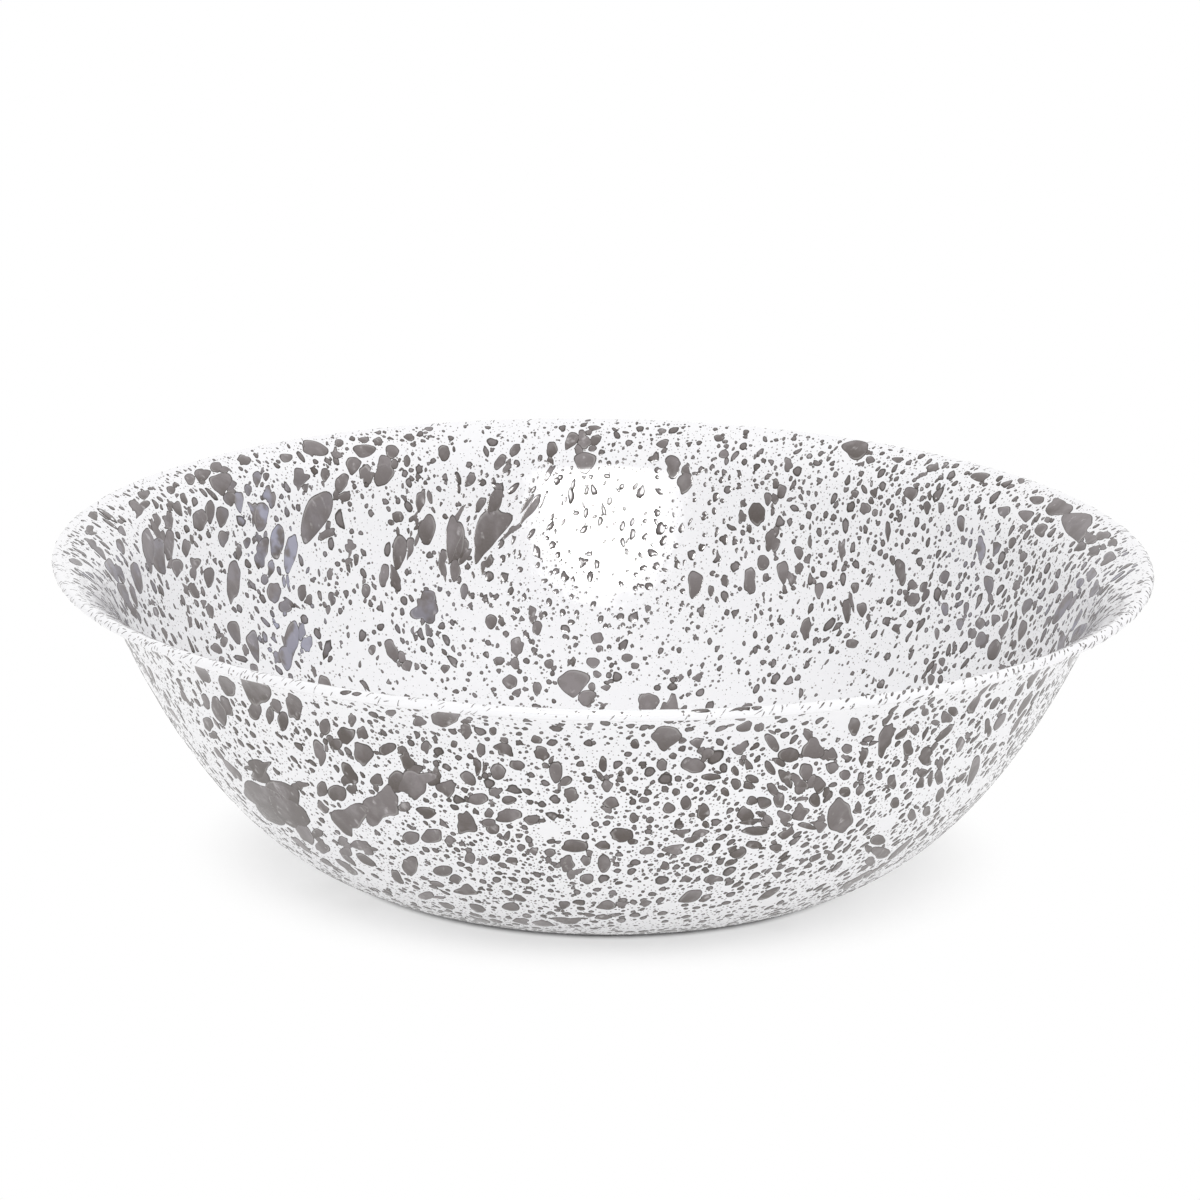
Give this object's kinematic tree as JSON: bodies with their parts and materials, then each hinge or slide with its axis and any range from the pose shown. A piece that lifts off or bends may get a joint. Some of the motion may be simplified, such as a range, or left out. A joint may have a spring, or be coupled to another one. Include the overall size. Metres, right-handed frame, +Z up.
{
  "type": "enamel basin bowl",
  "caption": "Wide round basin of enamelled steel with a flat base, curved wall, flared lip and rolled rim, white with fused grey speckle.",
  "frame": {"origin": "centre of the base on the table", "axes": "+Z up along the basin's centre line; it is round, so +X to the right and -Y towards the picture's camera are free choices"},
  "size_m": [0.3999, 0.4, 0.1172],
  "materials": {
    "steel": "cold-rolled sheet, pressed, hidden under the glass",
    "ground_glass": "dark fired ground coat, hidden under the white",
    "white_glass": "glossy fired white enamel",
    "grey_glass": "glossy fired grey drops, slightly raised"
  },
  "bodies": {
    "root": {"steel_shell": "steel", "ground_coat_inside": "ground_glass", "ground_coat_outside": "ground_glass", "white_coat_inside": "white_glass", "white_coat_outside": "white_glass", "splatter_inside": "grey_glass", "splatter_outside": "grey_glass", "splatter_rim": "grey_glass"}
  },
  "joints": []
}
